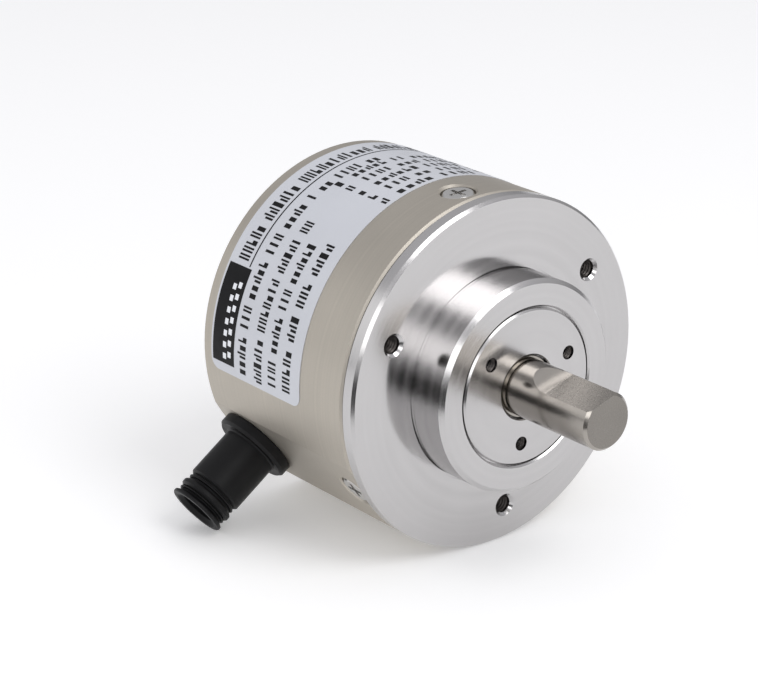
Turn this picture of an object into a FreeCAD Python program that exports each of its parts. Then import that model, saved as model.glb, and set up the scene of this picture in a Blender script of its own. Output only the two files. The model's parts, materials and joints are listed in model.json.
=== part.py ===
import math
import os

from FreeCAD import Placement, Rotation, Vector
import Part

# Incremental rotary encoder, millimetres.
# The shaft axis is Y and the shaft points towards -Y. The origin is the centre of the flange's
# mounting face. +Z is up when the encoder lies on its case with the cable gland towards -X.
# Angles are measured about Y from +X towards +Z.

os.makedirs("parts", exist_ok=True)

# ---- driving dimensions -------------------------------------------------------------------
body_r = 25.0               # flange and case
flange_t = 2.2              # visible flange rim
pilot_r = 15.0              # centring collar
pilot_h = 6.0
shaft_r = 4.0
shaft_reach = 15.5          # free shaft beyond the collar
case_len = 34.0             # mounting face to rear face
clock = 35.0                # first mounting hole; everything else is clocked from it
bolt_pcr = 20.0             # radius of the mounting hole circle
tap_m3_r = 1.25
cover_hole_pcr = 8.0
cover_hole_r = 1.0
cover_clock = 23.8
flat_d = 24.2               # distance from the axis to the flat milled along the case
gland_y = 28.2
seat_gap = 0.01             # radial slack of a seated cylindrical fit
relief_depth = 0.2          # depth of the turned relief grooves at the collar and shaft roots
count_of_three = 3

# axial stations
pilot_y = -pilot_h
cover_back_y = pilot_y + 1.8
seam_y = flange_t + 0.3     # where the case edge meets the flange shoulder
spigot_end_y = 11.5
bearing_w = 7.0
front_bearing_y = cover_back_y + bearing_w / 2
wave_y = cover_back_y + bearing_w
wave_t = 0.8
spacer_y = wave_y + wave_t
rear_race_y = 6.3
rear_bearing_y = rear_race_y + bearing_w / 2
rear_race_end_y = rear_race_y + bearing_w
hub_end_y = rear_race_end_y + 1.2
disc_hub_y = 15.0
tail_r = 3.0                # the shaft's reduced tail, which carries the disc hub
disc_y = 18.4
disc_t = 0.5
shaft_end_y = 20.4
board_y = 21.0
board_t = 1.6
board_back_y = board_y + board_t
rear_wall_t = 1.75
rear_inner_y = case_len - rear_wall_t

# radii
spigot_r = 22.98
case_bore_r = 23.0
case_rear_bore_r = 20.5
case_step_y = 23.9
bearing_r = 11.0
bore_r = bearing_r + seat_gap
cover_r = 11.2
cover_face_r = 11.0
hub_r = 13.5

# deep-groove ball bearing, 8 x 22 x 7
ball_r = 1.984
ball_count = 7
ball_pcr = 7.5
groove_r = 2.05
inner_land_r = 6.0
outer_land_r = 9.0
shield_seat_r = 9.4

# output shaft flat
shaft_flat_d = 3.1
shaft_flat_angle = 108.0
flat_start_y = -13.3
flat_cutter_r = 9.3

# case screws, M2.5 low head
case_screw_clock = clock + 60.0
case_screw_y = 6.2
case_screw_seat_depth = 0.85        # below the drum's round surface
case_screw_flat_depth = 0.7         # below the milled flat
case_screw_head_r = 2.25
case_screw_head_t = 0.6
case_screw_recess_r = 2.45
m25_r = 1.25
case_screw_depth_r = 18.5

# standoffs, board screws and optics
slot_r0 = 14.2              # code track of the disc and of the reticle over the sensor
slot_r1 = 17.0
sensor_h = 1.3
reticle_t = 0.4
post_clock = clock + 30.0
post_pcr = 20.2
post_r = 1.75
post_stud_r = 0.8
m2_r = 1.0
m2_clear_r = 1.05
m2_head_r = 1.9
m2_head_h = 1.3
m2_screw_l = 5.0
sense_clock = case_screw_clock
track_r = 15.6

# gland, measured along its own axis from the encoder axis
gland_clock = clock + 180.0
gland_thread_r = 4.0
gland_end = 37.65
gland_mouth_r = 2.85
gland_bore_r = 3.1
grip_r = 2.4
grip_in = 22.0
grip_out = 34.0
gland_in = 20.7

# name label
label_t = 0.12
label_y0 = 11.4
label_y1 = 31.7
label_a0 = 50.0
label_a1 = 185.3
label_corner = 1.6


# ---- helpers --------------------------------------------------------------------------------
def face_of(points):
    closed = list(points) + [points[0]]
    return Part.Face(Part.makePolygon(closed))


def turned(outline):
    """Solid of revolution about Y from (y, r) points."""
    face = face_of([Vector(r, y, 0) for y, r in outline])
    return face.revolve(Vector(0, 0, 0), Vector(0, 1, 0), 360)


def ring(r_in, r_out, y0, y1, bevel=0.0, bevel_in=0.0):
    """Turned ring whose outer and inner corners may be bevelled."""
    outline = [(y0 + bevel_in, r_in), (y0, r_in + bevel_in), (y0, r_out - bevel), (y0 + bevel, r_out),
               (y1 - bevel, r_out), (y1, r_out - bevel), (y1, r_in + bevel_in), (y1 - bevel_in, r_in)]
    points = [p for i, p in enumerate(outline) if p != outline[i - 1]]
    return turned(points)


def outward(angle):
    a = math.radians(angle)
    return Vector(math.cos(a), 0, math.sin(a))


def polar(r, angle, y):
    d = outward(angle)
    return Vector(r * d.x, y, r * d.z)


def axial_rod(radius, r, angle, y0, y1):
    """Cylinder parallel to the shaft axis."""
    return Part.makeCylinder(radius, y1 - y0, polar(r, angle, y0), Vector(0, 1, 0))


def axial_cone(r0, r1, r, angle, y, length):
    return Part.makeCone(r0, r1, length, polar(r, angle, y), Vector(0, 1, 0))


def radial_rod(radius, angle, y, d0, d1):
    """Cylinder along a radius, from distance d0 to d1."""
    return Part.makeCylinder(radius, d1 - d0, polar(d0, angle, y), outward(angle))


def radial_cone(r0, r1, angle, y, d0, d1):
    return Part.makeCone(r0, r1, d1 - d0, polar(d0, angle, y), outward(angle))


def placed(shape, angle, y):
    """Puts a shape made about +X (X radial, Y axial, Z tangential) at an angle and a station."""
    moved = shape.copy()
    moved.Placement = Placement(Vector(0, y, 0), Rotation(Vector(0, 1, 0), -angle))
    return moved


def block(r0, r1, width, y0, y1, angle, shift=0.0):
    """Box with its faces square to the radius at an angle."""
    box = Part.makeBox(r1 - r0, y1 - y0, width, Vector(r0, 0, shift - width / 2))
    return placed(box, angle, y0)


def radial_turned(outline, angle, y):
    """Solid of revolution about a radius, from (distance, radius) points."""
    face = face_of([Vector(d, r, 0) for d, r in outline])
    return placed(face.revolve(Vector(0, 0, 0), Vector(1, 0, 0), 360), angle, y)


def group(shapes):
    return Part.makeCompound(shapes)


def around(make, start=0.0, count=count_of_three):
    """A list of one shape per equal step round the axis."""
    return [make(start + i * 360.0 / count) for i in range(count)]


def save(name, shape):
    for solid in shape.Solids:
        if not solid.isValid() or solid.Volume <= 0:
            raise ValueError(name + " has a bad solid")
    if shape.ShapeType != "Solid":
        shape = shape.Solids[0] if len(shape.Solids) == 1 else group(shape.Solids)
    shape.exportStep("parts/" + name + ".step")


# ---- housing: flange, cover, case ---------------------------------------------------------------
def mounting_flange():
    collar_bevel = 0.6
    rim_bevel = 0.4
    mouth_bevel = 0.25
    relief_w = 0.3
    relief_r = pilot_r - relief_depth
    root_w = 0.25
    shoulder_r = 24.2
    groove_y0 = 9.2
    groove_y1 = 10.6
    groove_bottom = 21.9
    web_y = 4.0
    ring_in = 17.0
    lip_r = 9.5
    small = 0.3
    body = turned([
        (pilot_y, cover_r + mouth_bevel), (pilot_y, pilot_r - collar_bevel),
        (pilot_y + collar_bevel, pilot_r), (-relief_w, pilot_r), (-relief_w, relief_r),
        (relief_depth, relief_r), (relief_depth, pilot_r + root_w), (0, pilot_r + root_w),
        (0, body_r - rim_bevel), (rim_bevel, body_r),
        (flange_t - small / 2, body_r), (flange_t, body_r - small / 2), (flange_t, shoulder_r),
        (seam_y, shoulder_r), (seam_y, spigot_r), (groove_y0, spigot_r), (groove_y0, groove_bottom),
        (groove_y1, groove_bottom), (groove_y1, spigot_r), (spigot_end_y - small, spigot_r),
        (spigot_end_y, spigot_r - small), (spigot_end_y, ring_in), (web_y, ring_in), (web_y, hub_r),
        (hub_end_y - small, hub_r), (hub_end_y, hub_r - small), (hub_end_y, lip_r),
        (rear_race_end_y, lip_r), (rear_race_end_y, bore_r), (cover_back_y, bore_r),
        (cover_back_y, cover_r), (pilot_y + mouth_bevel, cover_r)])
    tap_depth = 7.0
    mouth_r = 1.65
    mouth_depth = mouth_r - tap_m3_r
    drill_tip = 0.7
    screw_tip_room = 0.6
    stud_hole_y = spigot_end_y - 3.5
    sense_hole_y = spigot_end_y - 3.0
    cuts = around(lambda a: axial_rod(tap_m3_r, bolt_pcr, a, 0, tap_depth), clock)
    cuts += around(lambda a: axial_cone(mouth_r, tap_m3_r, bolt_pcr, a, 0, mouth_depth), clock)
    cuts += around(lambda a: axial_cone(tap_m3_r, 0, bolt_pcr, a, tap_depth, drill_tip), clock)
    cuts += around(lambda a: radial_rod(m25_r, a, case_screw_y, case_screw_depth_r - screw_tip_room,
                                        body_r), case_screw_clock)
    cuts += around(lambda a: axial_rod(post_stud_r, post_pcr, a, stud_hole_y, spigot_end_y), post_clock)
    cuts.append(axial_rod(m2_r, bolt_pcr, sense_clock, sense_hole_y, spigot_end_y))
    return body.cut(group(cuts))


def bearing_cover():
    edge = 0.25
    thread_y = pilot_y + 0.8
    hole_r = 4.55
    hole_edge = 0.15
    rear_land_r = 9.6           # only this outer land touches the bearing's outer ring
    land_h = 0.2
    body = turned([
        (pilot_y, hole_r + hole_edge), (pilot_y, cover_face_r - edge), (pilot_y + edge, cover_face_r),
        (thread_y, cover_face_r), (thread_y, cover_r - seat_gap), (cover_back_y, cover_r - seat_gap),
        (cover_back_y, rear_land_r), (cover_back_y - land_h, rear_land_r - land_h),
        (cover_back_y - land_h, hole_r), (pilot_y + hole_edge, hole_r)])
    holes = around(lambda a: axial_rod(cover_hole_r, cover_hole_pcr, a, pilot_y, cover_back_y), cover_clock)
    return body.cut(group(holes))


def case_screw_on_flat(a):
    return math.isclose(a, gland_clock)


def case_screw_seat(a):
    """Distance from the axis to the face under the screw's head."""
    if case_screw_on_flat(a):
        return flat_d - case_screw_flat_depth
    return body_r - case_screw_seat_depth


def case():
    front_bevel = 0.3
    rear_bevel = 0.5
    body = turned([
        (seam_y, case_bore_r), (seam_y, body_r - front_bevel), (seam_y + front_bevel, body_r),
        (case_len - rear_bevel, body_r), (case_len, body_r - rear_bevel), (case_len, 0),
        (rear_inner_y, 0), (rear_inner_y, case_rear_bore_r), (case_step_y, case_rear_bore_r),
        (case_step_y, case_bore_r)])
    flat = block(flat_d, body_r + 1, 2 * body_r, seam_y - 1, case_len + 1, gland_clock)
    gland_hole = radial_rod(gland_thread_r, gland_clock, gland_y, case_rear_bore_r - 2, body_r)
    cuts = [flat, gland_hole]
    rim = 0.25
    screw_clear_r = m25_r + 0.05
    for i in range(count_of_three):
        a = case_screw_clock + i * 360.0 / count_of_three
        top = flat_d if case_screw_on_flat(a) else body_r - 0.1
        cuts.append(radial_rod(case_screw_recess_r, a, case_screw_y, case_screw_seat(a), body_r + 1))
        cuts.append(radial_rod(screw_clear_r, a, case_screw_y, case_bore_r - 1, body_r))
        cuts.append(radial_cone(case_screw_recess_r, case_screw_recess_r + 2 * rim, a, case_screw_y,
                                top - rim, top + rim))
    return body.cut(group(cuts).Solids)


def case_screw(a):
    seat = case_screw_seat(a)
    top = seat + case_screw_head_t
    edge = 0.25
    shank = radial_rod(m25_r - seat_gap, a, case_screw_y, case_screw_depth_r, seat)
    head = radial_turned([(seat, 0), (seat, case_screw_head_r), (top - edge, case_screw_head_r),
                          (top, case_screw_head_r - edge), (top, 0)], a, case_screw_y)
    slot_w = 0.55
    slot_l = 2.7
    slot_d = 0.4
    long_slot = block(top - slot_d, top + 1, slot_l, case_screw_y - slot_w / 2, case_screw_y + slot_w / 2, a)
    cross_slot = block(top - slot_d, top + 1, slot_w, case_screw_y - slot_l / 2, case_screw_y + slot_l / 2, a)
    return head.fuse(shank).cut(group([long_slot]).fuse(cross_slot))


def o_ring(r_in, r_out, y0, y1):
    """Rubber ring squeezed into its groove: a rounded rectangle in section."""
    bulge = 0.35
    return ring(r_in, r_out, y0, y1, bulge, bulge)


def name_label():
    shell = ring(body_r + 0.005, body_r + label_t, label_y0, label_y1)
    sweep = label_a1 - label_a0
    reach = body_r + 2
    wedge_face = Part.Face(Part.Wire([
        Part.makeLine(Vector(0, 0, 0), polar(reach, label_a0, 0)),
        Part.Arc(polar(reach, label_a0, 0), polar(reach, label_a0 + sweep / 2, 0),
                 polar(reach, label_a1, 0)).toShape(),
        Part.makeLine(polar(reach, label_a1, 0), Vector(0, 0, 0))]))
    wedge_low_y = label_y0 - 1
    wedge_face.translate(Vector(0, wedge_low_y, 0))
    wedge = wedge_face.extrude(Vector(0, label_y1 - label_y0 + 2, 0))
    sheet = shell.common(wedge)
    turn = math.degrees(label_corner / body_r)
    for a, side in ((label_a0, 1), (label_a1, -1)):
        for y, way in ((label_y0, 1), (label_y1, -1)):
            centre_a = a + side * turn
            centre_y = y + way * label_corner
            low = min(y, centre_y) - (0.5 if way > 0 else 0)
            high = max(y, centre_y) + (0.5 if way < 0 else 0)
            width = label_corner + 0.5
            corner = block(body_r - 1, body_r + 1, width, low, high, centre_a, side * width / 2)
            disc = radial_rod(label_corner, centre_a, centre_y, body_r - 2, body_r + 2)
            sheet = sheet.cut(corner.cut(disc))
    return sheet


# ---- cable gland -----------------------------------------------------------------------------------
def gland_body():
    flange_r = 5.75
    flange_out = 26.0
    flange_bevel = 0.4
    barrel_r = 4.13
    barrel_end = 33.9
    barrel_edge = 0.3
    neck_r = 3.5
    rib_r = 4.15
    rib_in = 34.9
    rib_out = 36.1
    rib_edge = 0.35
    flare_in = 36.7
    lip_r = 4.2
    lip_in = 37.2
    mouth_edge = 0.6
    return radial_turned([
        (gland_in, gland_bore_r), (gland_in, gland_thread_r - 0.3),
        (gland_in + 0.3, gland_thread_r - seat_gap), (flat_d, gland_thread_r - seat_gap),
        (flat_d, flange_r - 0.15), (flat_d + 0.15, flange_r), (flange_out - flange_bevel, flange_r),
        (flange_out, flange_r - flange_bevel), (flange_out, barrel_r + 0.2),
        (flange_out + 0.2, barrel_r), (barrel_end - barrel_edge, barrel_r),
        (barrel_end, barrel_r - barrel_edge), (barrel_end, neck_r), (rib_in, neck_r),
        (rib_in, rib_r - rib_edge), (rib_in + rib_edge, rib_r), (rib_out - rib_edge, rib_r),
        (rib_out, rib_r - rib_edge), (rib_out, neck_r), (flare_in, neck_r), (lip_in, lip_r),
        (gland_end - 0.15, lip_r), (gland_end, lip_r - 0.15), (gland_end, gland_mouth_r + mouth_edge),
        (gland_end - mouth_edge, gland_mouth_r), (grip_out, gland_mouth_r), (grip_out, gland_bore_r)],
        gland_clock, gland_y)


def gland_grip_sleeve():
    edge = 0.2
    return radial_turned([
        (grip_in, grip_r + edge), (grip_in, gland_bore_r - seat_gap),
        (grip_out, gland_bore_r - seat_gap), (grip_out, grip_r + edge), (grip_out - edge, grip_r),
        (grip_in + edge, grip_r)], gland_clock, gland_y)


# ---- ball bearings -----------------------------------------------------------------------------------
def race_groove(y):
    return Part.makeTorus(ball_pcr, groove_r, Vector(0, y, 0), Vector(0, 1, 0))


def outer_race(y):
    half = bearing_w / 2
    step = 0.5
    edge = 0.3
    body = turned([
        (y - half, shield_seat_r), (y - half, bearing_r - edge), (y - half + edge, bearing_r),
        (y + half - edge, bearing_r), (y + half, bearing_r - edge), (y + half, shield_seat_r),
        (y + half - step, shield_seat_r), (y + half - step, outer_land_r),
        (y - half + step, outer_land_r), (y - half + step, shield_seat_r)])
    return body.cut(race_groove(y))


def inner_race(y):
    half = bearing_w / 2
    return ring(shaft_r + seat_gap, inner_land_r, y - half, y + half, 0.25, 0.2).cut(race_groove(y))


def shields(y):
    half = bearing_w / 2
    step = 0.5
    thick = 0.3
    inner = inner_land_r + 0.3
    front = ring(inner, shield_seat_r - seat_gap, y - half + step - thick, y - half + step)
    back = ring(inner, shield_seat_r - seat_gap, y + half - step, y + half - step + thick)
    return group([front, back])


def balls(y):
    return group(around(lambda a: Part.makeSphere(ball_r, polar(ball_pcr, a, y)), 0.0, ball_count))


def cage(y):
    """Crown cage: a ring with open-sided pockets that snaps over the balls from one side."""
    pocket_r = ball_r + 0.05
    mouth_w = 1.6 * pocket_r
    hoop_in = 6.8
    hoop_out = 8.2
    hoop = ring(hoop_in, hoop_out, y - 0.9, y + 2.6, 0.1, 0.1)
    pockets = around(lambda a: radial_rod(pocket_r, a, y, hoop_in - 1, hoop_out + 1), 0.0, ball_count)
    mouths = around(lambda a: block(hoop_in - 1, hoop_out + 1, mouth_w, y - 3, y, a), 0.0, ball_count)
    return hoop.cut(group(pockets)).cut(group(mouths))


# ---- rotor --------------------------------------------------------------------------------------------
circlip_y = rear_race_end_y
circlip_t = 0.8
circlip_groove_r = 3.8


def shaft():
    edge = 0.4
    tip_y = pilot_y - shaft_reach
    relief_y0 = pilot_y - 0.1
    relief_y1 = pilot_y + 0.4
    relief_r = shaft_r - relief_depth
    round_end_y = flat_start_y + 0.9
    slack = 0.05
    body = turned([
        (tip_y, 0), (tip_y, shaft_r - edge), (tip_y + edge, shaft_r), (round_end_y, shaft_r),
        (relief_y0, shaft_r),
        (relief_y0, relief_r), (relief_y1, relief_r), (relief_y1, shaft_r), (circlip_y, shaft_r),
        (circlip_y, circlip_groove_r), (circlip_y + circlip_t + slack, circlip_groove_r),
        (circlip_y + circlip_t + slack, shaft_r), (disc_hub_y, shaft_r), (disc_hub_y, tail_r),
        (shaft_end_y - edge, tail_r), (shaft_end_y, tail_r - edge), (shaft_end_y, 0)])
    body = placed(body, shaft_flat_angle, 0)    # puts the seam of the round faces under the flat
    width = 3 * shaft_r
    plain = block(shaft_flat_d, 2 * shaft_r, width, tip_y - 1, flat_start_y, shaft_flat_angle)
    along = Rotation(Vector(0, 1, 0), -shaft_flat_angle).multVec(Vector(0, 0, 1))
    cutter_at = polar(shaft_flat_d + flat_cutter_r, shaft_flat_angle, flat_start_y)
    cutter = Part.makeCylinder(flat_cutter_r, width, cutter_at - along * (width / 2), along)
    return body.cut(plain).cut(cutter)


def shaft_sleeve():
    outer = 4.4
    edge = 0.12
    return ring(shaft_r + seat_gap, outer, pilot_y + 0.4, cover_back_y, edge)


def circlip():
    outer = 5.4
    lug_r = 0.95
    lug_pcr = 5.6
    eye_r = 0.45
    lug_spread = 34.0
    mouth_w = 3.7
    inner = circlip_groove_r + seat_gap
    low = circlip_y - 1
    high = circlip_y + circlip_t + 1
    clip = ring(inner, outer, circlip_y, circlip_y + circlip_t)
    clip = clip.cut(block(0, 2 * outer, mouth_w, low, high, sense_clock))
    keep_out = axial_rod(inner, 0, 0, low, high)
    for a in (sense_clock - lug_spread, sense_clock + lug_spread):
        lug = axial_rod(lug_r, lug_pcr, a, circlip_y, circlip_y + circlip_t)
        eye = axial_rod(eye_r, lug_pcr, a, low, high)
        clip = clip.fuse(lug.cut(keep_out)).cut(eye)
    return clip


set_screw_y = 16.3
set_screw_angles = (0.0, 90.0)
hub_sleeve_r = 6.0


def disc_hub():
    seat_r = 9.0
    seat_t = 0.8
    hub_top = disc_y + 1.5
    edge = 0.2
    body = turned([
        (disc_hub_y, tail_r + seat_gap), (disc_hub_y, hub_sleeve_r - edge),
        (disc_hub_y + edge, hub_sleeve_r), (disc_y - seat_t, hub_sleeve_r), (disc_y - seat_t, seat_r),
        (disc_y, seat_r), (disc_y, hub_sleeve_r), (hub_top - edge, hub_sleeve_r),
        (hub_top, hub_sleeve_r - edge), (hub_top, tail_r + seat_gap)])
    holes = [radial_rod(m2_r, a, set_screw_y, tail_r - 1, hub_sleeve_r + 1) for a in set_screw_angles]
    return body.cut(group(holes))


def hub_set_screw(a):
    top = 5.7
    key_af = 0.9
    key_depth = 1.0
    body = radial_rod(m2_r - seat_gap, a, set_screw_y, tail_r + seat_gap, top)
    socket = block(top - key_depth, top + 1, key_af, set_screw_y - key_af / 2, set_screw_y + key_af / 2, a)
    return body.cut(socket)


def code_disc():
    disc_r = 18.0
    slots = 72
    slot_w = 0.62
    index_r0 = 12.6
    index_r1 = 13.6
    body = ring(hub_sleeve_r + seat_gap, disc_r, disc_y, disc_y + disc_t)
    cutters = around(lambda a: block(slot_r0, slot_r1, slot_w, disc_y - 1, disc_y + 2, a), 0.0, slots)
    cutters.append(block(index_r0, index_r1, slot_w, disc_y - 1, disc_y + 2, 0.0))
    return body.cut(group(cutters))


def disc_clamp_ring():
    outer = 8.5
    height = 0.8
    edge = 0.15
    back = disc_y + disc_t
    return ring(hub_sleeve_r + seat_gap, outer, back, back + height, edge)


# ---- optics and electronics --------------------------------------------------------------------------
led_r = 1.5
led_seat_y = 13.6
led_holder_top = 16.8
led_screw_seat_y = 14.0


def led_holder():
    r_in = 13.9
    r_out = 22.2
    width = 7.0
    leads_r = 0.9
    recess_r = m2_head_r + 0.1
    low = spigot_end_y - 1
    high = led_holder_top + 1
    body = block(r_in, r_out, width, spigot_end_y, led_holder_top, sense_clock)
    lens_hole = axial_rod(led_r + seat_gap, track_r, sense_clock, led_seat_y, high)
    leads = axial_rod(leads_r, track_r, sense_clock, low, led_seat_y)
    screw_hole = axial_rod(m2_clear_r, bolt_pcr, sense_clock, low, high)
    head_recess = axial_rod(recess_r, bolt_pcr, sense_clock, led_screw_seat_y, high)
    return body.cut(lens_hole).cut(leads).cut(screw_hole).cut(head_recess)


def led():
    length = 2.6
    stem = axial_rod(led_r, track_r, sense_clock, led_seat_y, led_seat_y + length)
    dome = Part.makeSphere(led_r, polar(track_r, sense_clock, led_seat_y + length))
    return stem.fuse(dome)


def m2_screw(r, a, seat_y):
    """M2 cross-head screw driven towards -Y."""
    slot_w = 0.4
    slot_l = 1.8
    slot_d = 0.5
    top = seat_y + m2_head_h
    shank = axial_rod(m2_r - seat_gap, r, a, seat_y - m2_screw_l, seat_y)
    head = axial_rod(m2_head_r, r, a, seat_y, top)
    one = block(r - slot_l / 2, r + slot_l / 2, slot_w, top - slot_d, top + 1, a)
    two = block(r - slot_w / 2, r + slot_w / 2, slot_l, top - slot_d, top + 1, a)
    return head.fuse(shank).cut(one).cut(two)


def board_post(a):
    stud_l = 3.0
    thread_l = 4.0
    stud = axial_rod(post_stud_r - seat_gap, post_pcr, a, spigot_end_y - stud_l, spigot_end_y)
    body = axial_rod(post_r, post_pcr, a, spigot_end_y, board_y)
    bore = axial_rod(m2_r, post_pcr, a, board_y - thread_l, board_y)
    return body.fuse(stud).cut(bore)


def main_board():
    radius = 21.5
    body = Part.makeCylinder(radius, board_t, Vector(0, board_y, 0), Vector(0, 1, 0))
    holes = around(lambda a: axial_rod(m2_clear_r, post_pcr, a, board_y - 1, board_back_y + 1), post_clock)
    return body.cut(group(holes))


def photo_sensor():
    length = 4.6
    width = 5.2
    return block(track_r - length / 2, track_r + length / 2, width, board_y - sensor_h, board_y, sense_clock)


def reticle():
    length = 4.2
    width = 4.4
    slit_w = 0.3
    slit_pitch = 0.68
    slit_count = 5
    back = board_y - sensor_h
    front = back - reticle_t
    plate = block(track_r - length / 2, track_r + length / 2, width, front, back, sense_clock)
    for i in range(slit_count):
        shift = (i - (slit_count - 1) / 2) * slit_pitch
        plate = plate.cut(block(slot_r0, slot_r1, slit_w, front - 1, back + 1, sense_clock, shift))
    return plate


def chip(r, a, length, legs):
    """Flat-pack chip on the board's rear face, its legs along both long sides."""
    width = 4.0
    height = 1.7
    stand_off = 0.1
    leg_l = 1.0
    leg_w = 0.4
    leg_t = 0.5
    body = block(r - width / 2, r + width / 2, length, board_back_y + stand_off, board_back_y + height, a)
    pitch = length / legs
    for i in range(legs):
        shift = (i + 0.5) * pitch - length / 2
        for low in (r - width / 2 - leg_l, r + width / 2):
            leg = block(low, low + leg_l, leg_w, board_back_y, board_back_y + leg_t, a, shift)
            body = body.fuse(leg)
    return body


header_r = 10.2
header_floor = 1.2
header_pin_count = 5


def header_housing():
    wall = 0.6
    depth = 4.4
    width = 13.0
    height = 5.5
    r0 = header_r - depth / 2
    r1 = header_r + depth / 2
    top = board_back_y + height
    body = block(r0, r1, width, board_back_y, top, gland_clock)
    well = block(r0 + wall, r1 - wall, width - 2 * wall, board_back_y + header_floor, top + 1, gland_clock)
    return body.cut(well)


def header_pin(i):
    pitch = 2.2
    pin_w = 0.5
    height = 4.8
    shift = (i - (header_pin_count - 1) / 2) * pitch
    return block(header_r - pin_w / 2, header_r + pin_w / 2, pin_w, board_back_y + header_floor,
                 board_back_y + height, gland_clock, shift)


def capacitor(r, a):
    can_r = 2.4
    height = 5.2
    return axial_rod(can_r, r, a, board_back_y, board_back_y + height)


# bearing clamp parts
def preload_washer():
    land = 1.3
    slack = 0.1
    return ring(bearing_r - land, bearing_r - slack, wave_y, wave_y + wave_t)


def outer_spacer():
    land = 1.4
    edge = 0.2
    return ring(bearing_r - land, bearing_r, spacer_y, rear_race_y, edge, edge)


def inner_spacer():
    outer = 5.2
    edge = 0.15
    return ring(shaft_r + seat_gap, outer, wave_y, rear_race_y, edge)


# ---- write every node -------------------------------------------------------------------------------
save("mounting_flange", mounting_flange())
save("bearing_cover", bearing_cover())
save("case", case())
save("case_screws", group(around(case_screw, case_screw_clock)))
save("flange_o_ring", o_ring(21.9, spigot_r, 9.25, 10.55))
save("name_label", name_label())
save("gland_body", gland_body())
save("gland_grip_sleeve", gland_grip_sleeve())

for end, station in (("front", front_bearing_y), ("rear", rear_bearing_y)):
    save(end + "_bearing_outer_ring", outer_race(station))
    save(end + "_bearing_inner_ring", inner_race(station))
    save(end + "_bearing_shields", shields(station))
    save(end + "_bearing_balls", balls(station))
    save(end + "_bearing_cage", cage(station))

save("preload_washer", preload_washer())
save("outer_spacer", outer_spacer())
save("inner_spacer", inner_spacer())

save("shaft", shaft())
save("shaft_sleeve", shaft_sleeve())
save("shaft_circlip", circlip())
save("disc_hub", disc_hub())
save("hub_set_screws", group([hub_set_screw(a) for a in set_screw_angles]))
save("code_disc", code_disc())
save("disc_clamp_ring", disc_clamp_ring())

save("led_holder", led_holder())
save("led", led())
save("led_holder_screw", m2_screw(bolt_pcr, sense_clock, led_screw_seat_y))
save("board_posts", group(around(board_post, post_clock)))
save("main_board", main_board())
save("board_screws", group(around(lambda a: m2_screw(post_pcr, a, board_back_y), post_clock)))
save("photo_sensor", photo_sensor())
save("reticle", reticle())
save("driver_chip", chip(5.0, clock, 10.0, 8))
save("regulator_chip", chip(9.5, clock + 90.0, 5.0, 4))
save("capacitors", group([capacitor(14.0, clock + 65.0), capacitor(13.0, clock + 265.0)]))
save("header_housing", header_housing())
save("header_pins", group([header_pin(i) for i in range(header_pin_count)]))
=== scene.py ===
import json
import math

import bpy
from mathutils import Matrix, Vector


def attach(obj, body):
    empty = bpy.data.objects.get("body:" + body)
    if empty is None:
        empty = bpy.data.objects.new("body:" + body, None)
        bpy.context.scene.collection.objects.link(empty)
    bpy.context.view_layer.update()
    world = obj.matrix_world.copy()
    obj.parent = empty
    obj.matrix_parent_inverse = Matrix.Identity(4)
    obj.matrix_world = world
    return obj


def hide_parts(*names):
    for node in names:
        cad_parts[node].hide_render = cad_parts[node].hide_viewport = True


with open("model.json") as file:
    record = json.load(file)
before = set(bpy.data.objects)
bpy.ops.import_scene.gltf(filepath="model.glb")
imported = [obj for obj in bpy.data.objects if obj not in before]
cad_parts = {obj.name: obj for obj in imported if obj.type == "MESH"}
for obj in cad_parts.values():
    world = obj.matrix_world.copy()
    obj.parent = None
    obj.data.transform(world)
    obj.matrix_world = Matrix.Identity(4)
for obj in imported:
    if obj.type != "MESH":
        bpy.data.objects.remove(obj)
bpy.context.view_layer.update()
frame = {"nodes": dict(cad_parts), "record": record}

# Looks of the rotary encoder. Blender's lengths are metres. The label, the threads and the gland's
# ridges are laid out in plain millimetres and turned into metres when their points are made. The
# shaft axis is Y and the shaft points towards -Y. Angles round the axis run from +X towards +Z, in
# degrees.
mm = 0.001
um = 0.000001
scene = bpy.context.scene
scene.view_settings.view_transform = "Standard"

# ---- camera ---------------------------------------------------------------------------------
CAMERA_AT = Vector((-0.199364, -0.223968, 0.118560))
CAMERA_AZIMUTH = math.radians(-38.60)
CAMERA_ELEVATION = math.radians(20.75)

camera_data = bpy.data.cameras.new("camera")
camera_data.sensor_width = 36.0
camera_data.lens = 112.84
camera_data.clip_start = 0.01
camera = bpy.data.objects.new("camera", camera_data)
scene.collection.objects.link(camera)
scene.camera = camera
camera_back = Vector((math.sin(CAMERA_AZIMUTH) * math.cos(CAMERA_ELEVATION),
                      -math.cos(CAMERA_AZIMUTH) * math.cos(CAMERA_ELEVATION),
                      math.sin(CAMERA_ELEVATION)))
camera.location = CAMERA_AT
camera.rotation_mode = "QUATERNION"
camera.rotation_quaternion = (-camera_back).to_track_quat("-Z", "Y")


# ---- materials ------------------------------------------------------------------------------
SHAFT_FLAT_ANGLE = math.radians(108.0)
SHAFT_FLAT_D = 3.1 * mm
SHAFT_FLAT_START = -13.2 * mm
SHAFT_TIP = -21.5 * mm
FLAT_TOLERANCE = 0.015 * mm
TIP_TOLERANCE = 0.02 * mm

# Most of a noise texture's values lie between these.
NOISE_LOW = 0.3
NOISE_HIGH = 0.7


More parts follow.
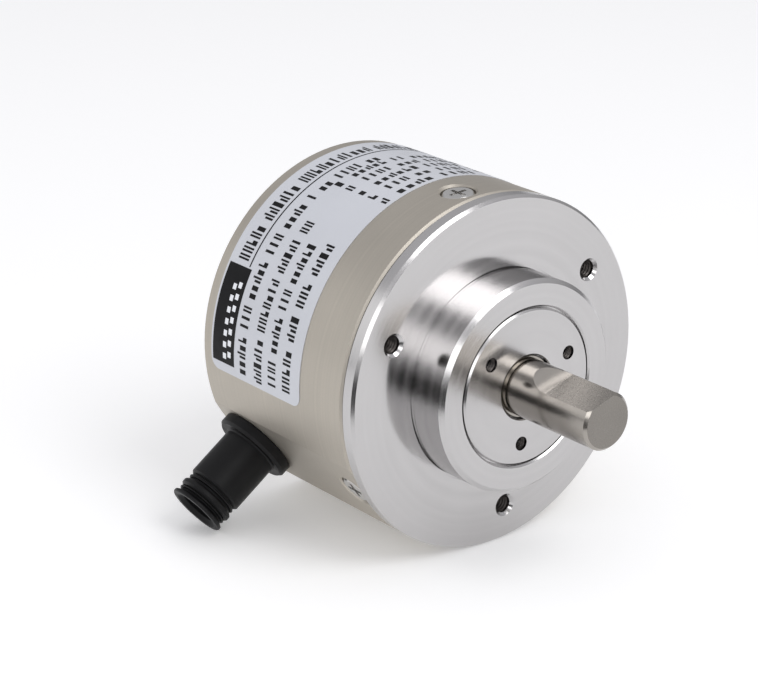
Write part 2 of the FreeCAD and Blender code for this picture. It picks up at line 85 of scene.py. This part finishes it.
class Surface:
    """A Principled material with procedural detail taken from the piece's own coordinates."""

    def __init__(self, name, colour, metallic=0.0, roughness=0.5):
        self.material = bpy.data.materials.new(name)
        self.material.use_nodes = True
        self.tree = self.material.node_tree
        self.shader = self.tree.nodes["Principled BSDF"]
        self.colour = colour
        self.shader.inputs["Base Color"].default_value = (*colour, 1.0)
        self.shader.inputs["Metallic"].default_value = metallic
        self.shader.inputs["Roughness"].default_value = roughness
        self.place = self.node("ShaderNodeTexCoord").outputs["Object"]

    def node(self, kind, **settings):
        made = self.tree.nodes.new(kind)
        for key, value in settings.items():
            setattr(made, key, value)
        return made

    def link(self, source, target):
        self.tree.links.new(source, target)

    def math(self, operation, *values):
        made = self.node("ShaderNodeMath", operation=operation)
        for socket, value in zip(made.inputs, values):
            if isinstance(value, (int, float)):
                socket.default_value = value
            else:
                self.link(value, socket)
        return made.outputs[0]

    def rings(self, per_mm, detail=2.0, slope=0.6):
        """Noise that is constant round the Y axis, like the tool marks of a lathe."""
        split = self.node("ShaderNodeSeparateXYZ")
        self.link(self.place, split.inputs[0])
        x, y, z = split.outputs
        radius = self.math("SQRT", self.math("ADD", self.math("MULTIPLY", x, x),
                                             self.math("MULTIPLY", z, z)))
        along = self.math("ADD", radius, self.math("MULTIPLY", y, slope))
        noise = self.node("ShaderNodeTexNoise", noise_dimensions="1D")
        self.link(self.math("MULTIPLY", along, per_mm / mm), noise.inputs["W"])
        noise.inputs["Scale"].default_value = 1.0
        noise.inputs["Detail"].default_value = detail
        return noise.outputs["Fac"]

    def grain(self, per_mm, detail=2.0):
        """Ordinary noise, the same in every direction."""
        noise = self.node("ShaderNodeTexNoise")
        self.link(self.place, noise.inputs["Vector"])
        noise.inputs["Scale"].default_value = per_mm / mm
        noise.inputs["Detail"].default_value = detail
        return noise.outputs["Fac"]

    def blend(self, first, second, share):
        """A share of the first value with the rest from the second."""
        return self.math("ADD", self.math("MULTIPLY", first, share),
                         self.math("MULTIPLY", second, 1.0 - share))

    def spread(self, factor, low, high):
        """The middle of a noise's range stretched to low..high."""
        made = self.node("ShaderNodeMapRange")
        self.link(factor, made.inputs["Value"])
        made.inputs["From Min"].default_value = NOISE_LOW
        made.inputs["From Max"].default_value = NOISE_HIGH
        made.inputs["To Min"].default_value = low
        made.inputs["To Max"].default_value = high
        return made.outputs[0]

    def tint(self, factor, low, high):
        """Base colour between two multiples of the material's colour."""
        inset = 0.02
        ramp = self.node("ShaderNodeValToRGB")
        self.link(factor, ramp.inputs[0])
        places = (NOISE_LOW + inset, NOISE_HIGH - inset)
        for stop, place, gain in zip(ramp.color_ramp.elements, places, (low, high)):
            stop.position = place
            stop.color = (*[min(1.0, c * gain) for c in self.colour], 1.0)
        self.link(ramp.outputs["Color"], self.shader.inputs["Base Color"])

    def shade_where(self, mask, gain):
        """The base colour multiplied by gain where the mask is 1."""
        colour = self.shader.inputs["Base Color"].links[0].from_socket
        factor = self.math("SUBTRACT", 1.0, self.math("MULTIPLY", mask, 1.0 - gain))
        scale = self.node("ShaderNodeVectorMath", operation="SCALE")
        self.link(colour, scale.inputs[0])
        self.link(factor, scale.inputs["Scale"])
        self.link(scale.outputs[0], self.shader.inputs["Base Color"])

    def rough(self, factor, low, high):
        """Roughness between two values, following a noise."""
        self.link(self.spread(factor, low, high), self.shader.inputs["Roughness"])

    def bump(self, factor, depth_um, strength=1.0):
        """Relief of a depth in micrometres."""
        made = self.node("ShaderNodeBump")
        made.inputs["Distance"].default_value = depth_um * um
        made.inputs["Strength"].default_value = strength
        self.link(factor, made.inputs["Height"])
        self.link(made.outputs[0], self.shader.inputs["Normal"])

    def brushed_round_y(self, amount):
        """Highlights drawn out across marks that run round the Y axis."""
        tangent = self.node("ShaderNodeTangent", direction_type="RADIAL", axis="Y")
        self.link(tangent.outputs[0], self.shader.inputs["Tangent"])
        self.shader.inputs["Anisotropic"].default_value = amount


def turned_metal(name, colour, roughness, aniso, marks_per_mm, mark_um, uneven=0.06):
    """Metal turned on a lathe: rings of tool marks and a highlight drawn out across them."""
    s = Surface(name, colour, 1.0, roughness)
    fine = s.rings(marks_per_mm)
    coarse = s.rings(marks_per_mm * 0.12, 1.0)
    s.tint(s.blend(coarse, s.grain(0.12), 0.6), 1.0 - uneven, 1.0 + uneven)
    s.rough(s.blend(fine, coarse, 0.5), roughness * 0.8, roughness * 1.25)
    s.bump(fine, mark_um)
    s.brushed_round_y(aniso)
    return s.material


def plain_metal(name, colour, roughness, grain_per_mm=3.0, uneven=0.08):
    """Ground, rolled or plated metal with a fine even grain."""
    s = Surface(name, colour, 1.0, roughness)
    s.tint(s.grain(0.25, 3.0), 1.0 - uneven, 1.0 + uneven)
    s.rough(s.grain(grain_per_mm * 0.4), roughness * 0.85, roughness * 1.15)
    s.bump(s.grain(grain_per_mm), 2.0, 0.3)
    return s.material


def ground_shaft(name, colour):
    """Ground bar whose milled flat and faced end are rougher than the rest, their colour darkened by
    painted shade.
    """
    s = Surface(name, colour, 1.0, 0.2)
    split = s.node("ShaderNodeSeparateXYZ")
    s.link(s.place, split.inputs[0])
    x, y, z = split.outputs
    from_axis = s.math("ADD", s.math("MULTIPLY", x, math.cos(SHAFT_FLAT_ANGLE)),
                       s.math("MULTIPLY", z, math.sin(SHAFT_FLAT_ANGLE)))
    near_flat = s.math("COMPARE", from_axis, SHAFT_FLAT_D, FLAT_TOLERANCE)
    on_flat = s.math("MULTIPLY", near_flat, s.math("LESS_THAN", y, SHAFT_FLAT_START))
    on_end = s.math("LESS_THAN", y, SHAFT_TIP + TIP_TOLERANCE)
    rough_and_shaded = s.math("MAXIMUM", on_flat, on_end)
    s.tint(s.grain(0.3), 0.98, 1.02)
    # painted shade: the base colour is cut to two thirds on the milled flat and the faced end
    s.shade_where(rough_and_shaded, 0.66)
    wear = s.math("ADD", s.math("MULTIPLY", s.grain(1.5), 0.2), s.math("MULTIPLY", rough_and_shaded, 0.4))
    s.rough(wear, 0.2, 0.34)
    s.bump(s.rings(5.0, 1.0, 1.0), 0.15)
    s.brushed_round_y(0.5)
    return s.material


def moulded(name, colour, roughness, texture_per_mm=6.0, depth_um=6.0, uneven=0.12):
    """Moulded plastic or rubber with a matt texture and slightly uneven sheen."""
    s = Surface(name, colour, 0.0, roughness)
    s.shader.inputs["Specular IOR Level"].default_value = 0.22
    s.tint(s.grain(0.3, 3.0), 1.0 - uneven, 1.0 + uneven)
    s.rough(s.grain(0.5, 3.0), roughness * 0.85, roughness * 1.15)
    s.bump(s.grain(texture_per_mm, 3.0), depth_um)
    return s.material


def anodised(name, colour):
    """Turned, bead-blasted and anodised: satin, with faint rings left under the film."""
    s = Surface(name, colour, 1.0, 0.5)
    rings = s.rings(2.2, 3.0, 1.0)
    s.tint(s.blend(rings, s.grain(0.09), 0.5), 0.93, 1.06)
    s.rough(s.blend(rings, s.grain(4.0), 0.5), 0.46, 0.56)
    s.bump(s.math("ADD", rings, s.math("MULTIPLY", s.grain(14.0), 0.5)), 2.5)
    s.brushed_round_y(0.35)
    return s.material


def laminate(name, colour):
    """Circuit board: solder mask over a woven laminate."""
    s = Surface(name, colour, 0.0, 0.35)
    weave = s.node("ShaderNodeTexWave", wave_type="BANDS", bands_direction="X")
    cross = s.node("ShaderNodeTexWave", wave_type="BANDS", bands_direction="Z")
    for wave in (weave, cross):
        s.link(s.place, wave.inputs["Vector"])
        wave.inputs["Scale"].default_value = 0.7 / mm
    both = s.math("MULTIPLY", weave.outputs["Fac"], cross.outputs["Fac"])
    s.tint(s.grain(0.4, 3.0), 0.85, 1.15)
    s.rough(s.grain(1.5), 0.28, 0.42)
    s.bump(both, 8.0, 0.4)
    return s.material


def film(name, colour, roughness, shine=0.5):
    """Printed polyester film: satin, with a slight ripple."""
    s = Surface(name, colour, 0.0, roughness)
    s.shader.inputs["Specular IOR Level"].default_value = shine
    s.tint(s.grain(0.08, 3.0), 0.98, 1.015)
    s.rough(s.grain(0.6, 3.0), roughness * 0.85, roughness * 1.15)
    s.bump(s.grain(1.1), 3.0, 0.6)
    return s.material


def clear_lens(name, colour):
    """Clear moulded plastic, barely uneven."""
    s = Surface(name, colour, 0.0, 0.06)
    s.shader.inputs["Transmission Weight"].default_value = 0.9
    s.shader.inputs["IOR"].default_value = 1.52
    s.rough(s.grain(1.2), 0.03, 0.1)
    s.bump(s.grain(0.8), 4.0, 0.4)
    return s.material


FINISH = {
    "turned_aluminium": turned_metal("turned_aluminium", (0.52, 0.51, 0.51), 0.17, 0.75, 7.0, 0.7, 0.03),
    "anodised_case": anodised("anodised_case", (0.50, 0.465, 0.41)),
    "shaft_steel": ground_shaft("shaft_steel", (0.36, 0.337, 0.308)),
    "screw_steel": plain_metal("screw_steel", (0.60, 0.59, 0.58), 0.2),
    "bearing_steel": turned_metal("bearing_steel", (0.70, 0.70, 0.71), 0.16, 0.4, 9.0, 0.6),
    "spring_steel": plain_metal("spring_steel", (0.46, 0.46, 0.48), 0.32),
    "gland_plastic": moulded("gland_plastic", (0.0045, 0.0045, 0.005), 0.46, 7.0, 4.0),
    "black_plastic": moulded("black_plastic", (0.03, 0.03, 0.032), 0.5),
    "seal_rubber": moulded("seal_rubber", (0.022, 0.022, 0.022), 0.7, 4.0, 9.0),
    "label_film": film("label_film", (0.62, 0.635, 0.68), 0.36),
    "brass": turned_metal("brass", (0.78, 0.62, 0.32), 0.25, 0.45, 6.0, 1.5),
    "board_laminate": laminate("board_laminate", (0.05, 0.24, 0.12)),
    "led_lens": clear_lens("led_lens", (0.85, 0.88, 0.95)),
    "capacitor_can": plain_metal("capacitor_can", (0.70, 0.70, 0.72), 0.28),
    "header_plastic": moulded("header_plastic", (0.85, 0.84, 0.78), 0.42),
    "cage_nylon": moulded("cage_nylon", (0.78, 0.74, 0.62), 0.45),
}
# The thread ridges are coloured near black: painted shade for the inside of the tapped holes.
SHADED_THREAD = turned_metal("shaded_thread", (0.075, 0.068, 0.064), 0.4, 0.3, 6.0, 2.0)
INK = film("label_ink", (0.006, 0.006, 0.007), 0.42, 0.12)
KNOCKOUT = film("label_knockout", (0.86, 0.88, 0.92), 0.38)

slot_of = {part["node"]: part["material_slot"] for part in frame["record"]["subparts"]}
for name, node in frame["nodes"].items():
    node.data.materials.clear()
    node.data.materials.append(FINISH[slot_of[name]])


# ---- mesh helpers ---------------------------------------------------------------------------
def on_drum(radius, angle, y):
    """The point at a radius, an angle and a station along the axis, all but the angle in mm."""
    a = math.radians(angle)
    return Vector((radius * math.cos(a), y, radius * math.sin(a))) * mm


def add_piece(name, verts, faces, material, body, smooth=True):
    """A mesh added to the visual model with its material, riding on a body."""
    mesh = bpy.data.meshes.new(name)
    mesh.from_pydata([tuple(v) for v in verts], [], faces)
    mesh.validate()
    mesh.materials.append(material)
    for polygon in mesh.polygons:
        polygon.use_smooth = smooth
    piece = bpy.data.objects.new(name, mesh)
    scene.collection.objects.link(piece)
    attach(piece, body)
    return piece


# ---- name label -----------------------------------------------------------------------------
# radii of the sheet's two faces and of the two layers of print, just clear of one another
LABEL_IN = 25.005
LABEL_OUT = 25.09
PRINT_R = 25.108
OVERPRINT_R = 25.116
LABEL_A0 = 50.0
LABEL_A1 = 185.3
LABEL_Y0 = 11.4
LABEL_Y1 = 31.7
LABEL_CORNER = 1.6
LABEL_ARC_R = 25.1
ARC_PER_DEGREE = math.radians(1.0) * LABEL_ARC_R
WORD_GAP = 0.75


def label_column(angle):
    """Lowest and highest y of the label at an angle, with its rounded corners."""
    edge = min(angle - LABEL_A0, LABEL_A1 - angle) * ARC_PER_DEGREE
    if edge >= LABEL_CORNER:
        return LABEL_Y0, LABEL_Y1
    cut = LABEL_CORNER - math.sqrt(max(0.0, LABEL_CORNER ** 2 - (LABEL_CORNER - edge) ** 2))
    return LABEL_Y0 + cut, LABEL_Y1 - cut


def label_angles():
    """Angles of the label's columns, close together at its rounded corners."""
    turn = LABEL_CORNER / ARC_PER_DEGREE
    corner_steps = 12
    corner = [turn * (1 - math.cos(math.pi / 2 * i / corner_steps)) for i in range(corner_steps + 1)]
    middle_steps = 180
    first = LABEL_A0 + turn
    span = LABEL_A1 - LABEL_A0 - 2 * turn
    middle = [first + span * i / middle_steps for i in range(1, middle_steps)]
    return [LABEL_A0 + c for c in corner] + middle + [LABEL_A1 - c for c in reversed(corner)]


def build_label():
    """The label as a sheet over the drum, its front and rear edges turned down onto the case."""
    rows = 6
    verts = []
    faces = []
    angles = label_angles()
    for angle in angles:
        low, high = label_column(angle)
        verts.append(on_drum(LABEL_IN, angle, low))
        for j in range(rows):
            verts.append(on_drum(LABEL_OUT, angle, low + (high - low) * j / (rows - 1)))
        verts.append(on_drum(LABEL_IN, angle, high))
    per = rows + 2
    for i in range(len(angles) - 1):
        for j in range(per - 1):
            a = i * per + j
            faces.append((a, a + per, a + per + 1, a + 1))
    sheet = add_piece("label_sheet", verts, faces, FINISH["label_film"], "housing")
    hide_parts("name_label")
    sheet.data.set_sharp_from_angle(angle=math.radians(40))


class Print:
    """Marks printed on the label, placed by angle round the axis and station along it."""

    def __init__(self, name, material, radius):
        self.name = name
        self.material = material
        self.radius = radius
        self.verts = []
        self.faces = []

    def patch(self, a0, a1, y0, y1):
        """A filled rectangle bent round the drum."""
        steps = max(1, math.ceil(abs(a1 - a0)))
        first = len(self.verts)
        for i in range(steps + 1):
            angle = a0 + (a1 - a0) * i / steps
            self.verts.append(on_drum(self.radius, angle, y0))
            self.verts.append(on_drum(self.radius, angle, y1))
        for i in range(steps):
            k = first + 2 * i
            self.faces.append((k, k + 1, k + 3, k + 2))

    def dummy_word(self, angle, y0, height, blocks, pitch, seed):
        """A row of plain blocks and ticks that stands for a word. Each shape is (start, end, top)."""
        shapes = (((0.0, 0.62, 1.0),),
                  ((0.0, 0.26, 1.0), (0.44, 0.70, 1.0)),
                  ((0.0, 0.60, 0.72),),
                  ((0.0, 0.24, 1.0), (0.24, 0.66, 0.45)),
                  ((0.0, 0.30, 0.72), (0.46, 0.72, 1.0)),
                  ((0.10, 0.44, 1.0),))
        step = pitch / ARC_PER_DEGREE
        for i in range(blocks):
            pick = (seed * 7 + i * 5 + (i * i) % 11) % len(shapes)
            for start, end, top in shapes[pick]:
                self.patch(angle - (i + start) * step, angle - (i + end) * step, y0, y0 + top * height)

    def dummy_line(self, start, end, y0, height, words, seed):
        """Words of the given lengths that fill the line from one angle to another."""
        step = (start - end) / (sum(words) + WORD_GAP * (len(words) - 1))
        angle = start
        for count in words:
            self.dummy_word(angle, y0, height, count, step * ARC_PER_DEGREE, seed)
            angle -= (count + WORD_GAP) * step
            seed += 3

    def finish(self):
        return add_piece(self.name, self.verts, self.faces, self.material, "housing")


# The panel at the label's start and the rule along the rest of it: start angle, end angle, y0, y1.
PANEL = (182.2, 150.0, 26.3, 31.3)
RULE = (149.5, 54.0, 26.85, 27.1)

# Lines of dummy words: start angle, end angle, station, height, word lengths and seed.
LINES = (
    (148.0, 56.0, 27.75, 2.3, (5, 6, 11, 7, 4), 1),
    (183.0, 92.0, 23.6, 1.85, (5, 3, 5, 3, 4, 1, 2, 4, 2), 2),
    (183.5, 128.0, 19.9, 1.75, (6, 7, 5, 2), 4),
    (182.5, 134.6, 16.7, 1.75, (4, 5, 3, 6), 5),
    (182.0, 132.5, 13.5, 1.7, (5, 3, 3, 4), 7),
)

# The list in the label's second half: a bullet and a few words in each row, given as word lengths
# and the angle they end at.
LIST_BULLET_A0 = 113.0
LIST_BULLET_A1 = 110.0
LIST_WORDS_A0 = 106.5
LIST_TOP_Y = 21.9
LIST_PITCH = 2.45
LIST_HEIGHT = 1.5
LIST_ROWS = (
    ((5, 2, 5, 4), 56.0),
    ((4, 3, 6), 64.0),
    ((6, 5, 3), 60.0),
    ((3, 2, 4, 4), 58.0),
    ((4, 4), 74.0),
)

# Pulses in the panel.
PULSE_COUNT = 7
PULSE_PERIOD = 3.8
PULSE_START = 180.6
PULSE_HEIGHT = 0.75
PULSE_UPPER_Y = 28.15
PULSE_LOWER_Y = 27.05


def build_label_print():
    """Print that spells nothing: blocks for words and pulses where the real label has a name."""
    ink = Print("label_print", INK, PRINT_R)
    ink.patch(*PANEL)
    ink.patch(*RULE)
    for line in LINES:
        ink.dummy_line(*line)
    for row, (words, end) in enumerate(LIST_ROWS):
        y = LIST_TOP_Y - LIST_PITCH * row
        ink.dummy_line(LIST_BULLET_A0, LIST_BULLET_A1, y, LIST_HEIGHT, (1,), row)
        ink.dummy_line(LIST_WORDS_A0, end, y, LIST_HEIGHT, words, 3 * row + 2)
    ink.finish()

    # Two trains a quarter of a period apart, as any two-channel encoder gives.
    mark = Print("label_mark", KNOCKOUT, OVERPRINT_R)
    for y, lead in ((PULSE_UPPER_Y, 0.0), (PULSE_LOWER_Y, PULSE_PERIOD / 4)):
        for pulse in range(PULSE_COUNT):
            a = PULSE_START - lead - PULSE_PERIOD * pulse
            mark.patch(a, a - PULSE_PERIOD / 2, y, y + PULSE_HEIGHT)
    mark.finish()


build_label()
build_label_print()


# ---- screw threads --------------------------------------------------------------------------
THREAD_STEPS_PER_TURN = 36
THREAD_FADE_STEPS = THREAD_STEPS_PER_TURN / 4

# where one ridge leaves the hole's wall, has its flat crest and meets the wall again, in pitches
RIDGE_FOOT_START = 0.06
RIDGE_CREST_START = 0.44
RIDGE_CREST_END = 0.56
RIDGE_FOOT_END = 0.94


def build_threads(name, radius_at, count, first_angle, crest, root, pitch, y0, y1):
    """Thread ridges in holes parallel to the axis, as one piece. Sizes in mm."""
    turns = (y1 - y0) / pitch - 1
    steps = int(turns * THREAD_STEPS_PER_TURN)
    verts = []
    faces = []
    for hole in range(count):
        centre = on_drum(radius_at, first_angle + 360.0 * hole / count, 0)
        base = len(verts)
        for i in range(steps + 1):
            t = 2 * math.pi * i / THREAD_STEPS_PER_TURN
            fade = min(1.0, i / THREAD_FADE_STEPS, (steps - i) / THREAD_FADE_STEPS)
            top = root - (root - crest) * fade
            y = y0 + pitch * i / THREAD_STEPS_PER_TURN
            profile = ((root, RIDGE_FOOT_START), (top, RIDGE_CREST_START),
                       (top, RIDGE_CREST_END), (root, RIDGE_FOOT_END))
            for r, shift in profile:
                verts.append(centre + Vector((r * math.cos(t), y + pitch * shift, r * math.sin(t))) * mm)
        for i in range(steps):
            for j in range(3):
                a = base + 4 * i + j
                faces.append((a, a + 4, a + 5, a + 1))
    add_piece(name, verts, faces, SHADED_THREAD, "housing", False)


build_threads("flange_threads", radius_at=20.0, count=3, first_angle=35.0,
              crest=1.08, root=1.26, pitch=0.5, y0=0.35, y1=6.6)
build_threads("cover_threads", radius_at=8.0, count=3, first_angle=23.8,
              crest=0.85, root=1.01, pitch=0.4, y0=-5.95, y1=-4.3)


# ---- gland ridges ---------------------------------------------------------------------------
GLAND_ANGLE = 215.0
GLAND_Y = 28.2
GLAND_NECK_R = 3.5
GLAND_RIDGES = ((34.42, 0.46), (36.40, 0.34))    # distance from the encoder's axis, and width
GLAND_RIDGE_SUNK = 0.05
GLAND_RIDGE_HEIGHT = 0.42
GLAND_RIDGE_POWER = 0.7                          # below 1, fuller at the shoulders than a half sine


def build_gland_ridges():
    """The two fine ridges moulded round the gland's neck, either side of its broad rib."""
    out = on_drum(1.0, GLAND_ANGLE, 0) / mm
    side = out.cross(Vector((0, 1, 0)))
    root = GLAND_NECK_R - GLAND_RIDGE_SUNK
    crest = GLAND_NECK_R + GLAND_RIDGE_HEIGHT
    segments = 96
    arc_steps = 8
    verts = []
    faces = []
    for station, width in GLAND_RIDGES:
        section = []
        for i in range(arc_steps + 1):
            t = math.pi * i / arc_steps
            rise = math.sin(t) ** GLAND_RIDGE_POWER
            section.append((station - width / 2 * math.cos(t), root + (crest - root) * rise))
        base = len(verts)
        for i in range(segments):
            a = 2 * math.pi * i / segments
            around = Vector((0, 1, 0)) * math.cos(a) + side * math.sin(a)
            for along, radius in section:
                verts.append((out * along + Vector((0, GLAND_Y, 0)) + around * radius) * mm)
        per = len(section)
        for i in range(segments):
            for j in range(per):
                a = base + i * per
                b = base + (i + 1) % segments * per
                faces.append((a + j, a + (j + 1) % per, b + (j + 1) % per, b + j))
    add_piece("gland_ridges", verts, faces, FINISH["gland_plastic"], "housing")


build_gland_ridges()


# ---- stage ----------------------------------------------------------------------------------
FLOOR_Z = -25.0 * mm
FLOOR_REACH = 3.0
FLOOR_GLOW = 0.21


def build_floor():
    """A pale floor that glows a little, which keeps the background near white."""
    mesh = bpy.data.meshes.new("floor")
    signs = ((-1, -1), (1, -1), (1, 1), (-1, 1))
    corners = [(FLOOR_REACH * x, FLOOR_REACH * y, FLOOR_Z) for x, y in signs]
    mesh.from_pydata(corners, [], [(0, 1, 2, 3)])
    floor = bpy.data.objects.new("floor", mesh)
    scene.collection.objects.link(floor)
    s = Surface("floor", (0.93, 0.93, 0.93), 0.0, 0.6)
    s.shader.inputs["Emission Color"].default_value = (1.0, 1.0, 1.0, 1.0)
    s.shader.inputs["Emission Strength"].default_value = FLOOR_GLOW
    s.shader.inputs["Specular IOR Level"].default_value = 0.1
    mesh.materials.append(s.material)


def build_flag():
    """A small black card low in front of the collar. Only reflections see it."""
    across = Vector((17, -14, 0)) * mm
    up = Vector((-6, -3, 10)) * mm
    middle = Vector((-52, -42, -7.5)) * mm
    mesh = bpy.data.meshes.new("flag")
    corners = [middle - across - up, middle + across - up, middle + across + up, middle - across + up]
    mesh.from_pydata([tuple(c) for c in corners], [], [(0, 1, 2, 3)])
    flag = bpy.data.objects.new("flag", mesh)
    scene.collection.objects.link(flag)
    s = Surface("flag", (0.01, 0.01, 0.01), 0.0, 0.9)
    s.shader.inputs["Specular IOR Level"].default_value = 0.0
    mesh.materials.append(s.material)
    flag.visible_camera = False
    flag.visible_diffuse = False
    flag.visible_shadow = False


def softbox(name, at, aim, width, height, power):
    """A rectangular light that faces a point. Sizes in metres, power in watts."""
    light = bpy.data.lights.new(name, "AREA")
    light.shape = "RECTANGLE"
    light.size = width
    light.size_y = height
    light.energy = power
    lamp = bpy.data.objects.new(name, light)
    scene.collection.objects.link(lamp)
    lamp.location = at
    lamp.rotation_mode = "QUATERNION"
    lamp.rotation_quaternion = (Vector(at) - Vector(aim)).to_track_quat("Z", "Y")


def build_world():
    """Grey surroundings that lighten from below to above."""
    world = bpy.data.worlds.new("studio")
    scene.world = world
    world.use_nodes = True
    tree = world.node_tree
    background = tree.nodes["Background"]
    place = tree.nodes.new("ShaderNodeTexCoord")
    split = tree.nodes.new("ShaderNodeSeparateXYZ")
    ramp = tree.nodes.new("ShaderNodeValToRGB")
    tree.links.new(place.outputs["Generated"], split.inputs[0])
    tree.links.new(split.outputs["Z"], ramp.inputs[0])
    tree.links.new(ramp.outputs["Color"], background.inputs["Color"])
    stops = ramp.color_ramp.elements
    stops[0].position = 0.0
    stops[0].color = (0.24, 0.24, 0.25, 1)
    stops[1].position = 1.0
    stops[1].color = (0.72, 0.72, 0.75, 1)
    middle = ramp.color_ramp.elements.new(0.35)
    middle.color = (0.54, 0.54, 0.55, 1)
    background.inputs["Strength"].default_value = 1.0


build_floor()
build_world()
build_flag()
softbox("softbox_left", (-0.40, 0.34, 0.16), (0, 0, 0), 0.40, 0.30, 0.25)
softbox("softbox_top", (0.02, 0.22, 0.50), (0, 0.01, 0), 0.50, 0.40, 0.10)
softbox("softbox_front", (0.05, -0.40, 0.46), (0, 0, 0), 0.34, 0.34, 1.35)
softbox("softbox_near", (-0.38, -0.43, 0.20), (0, 0, 0), 0.22, 0.22, 0.36)
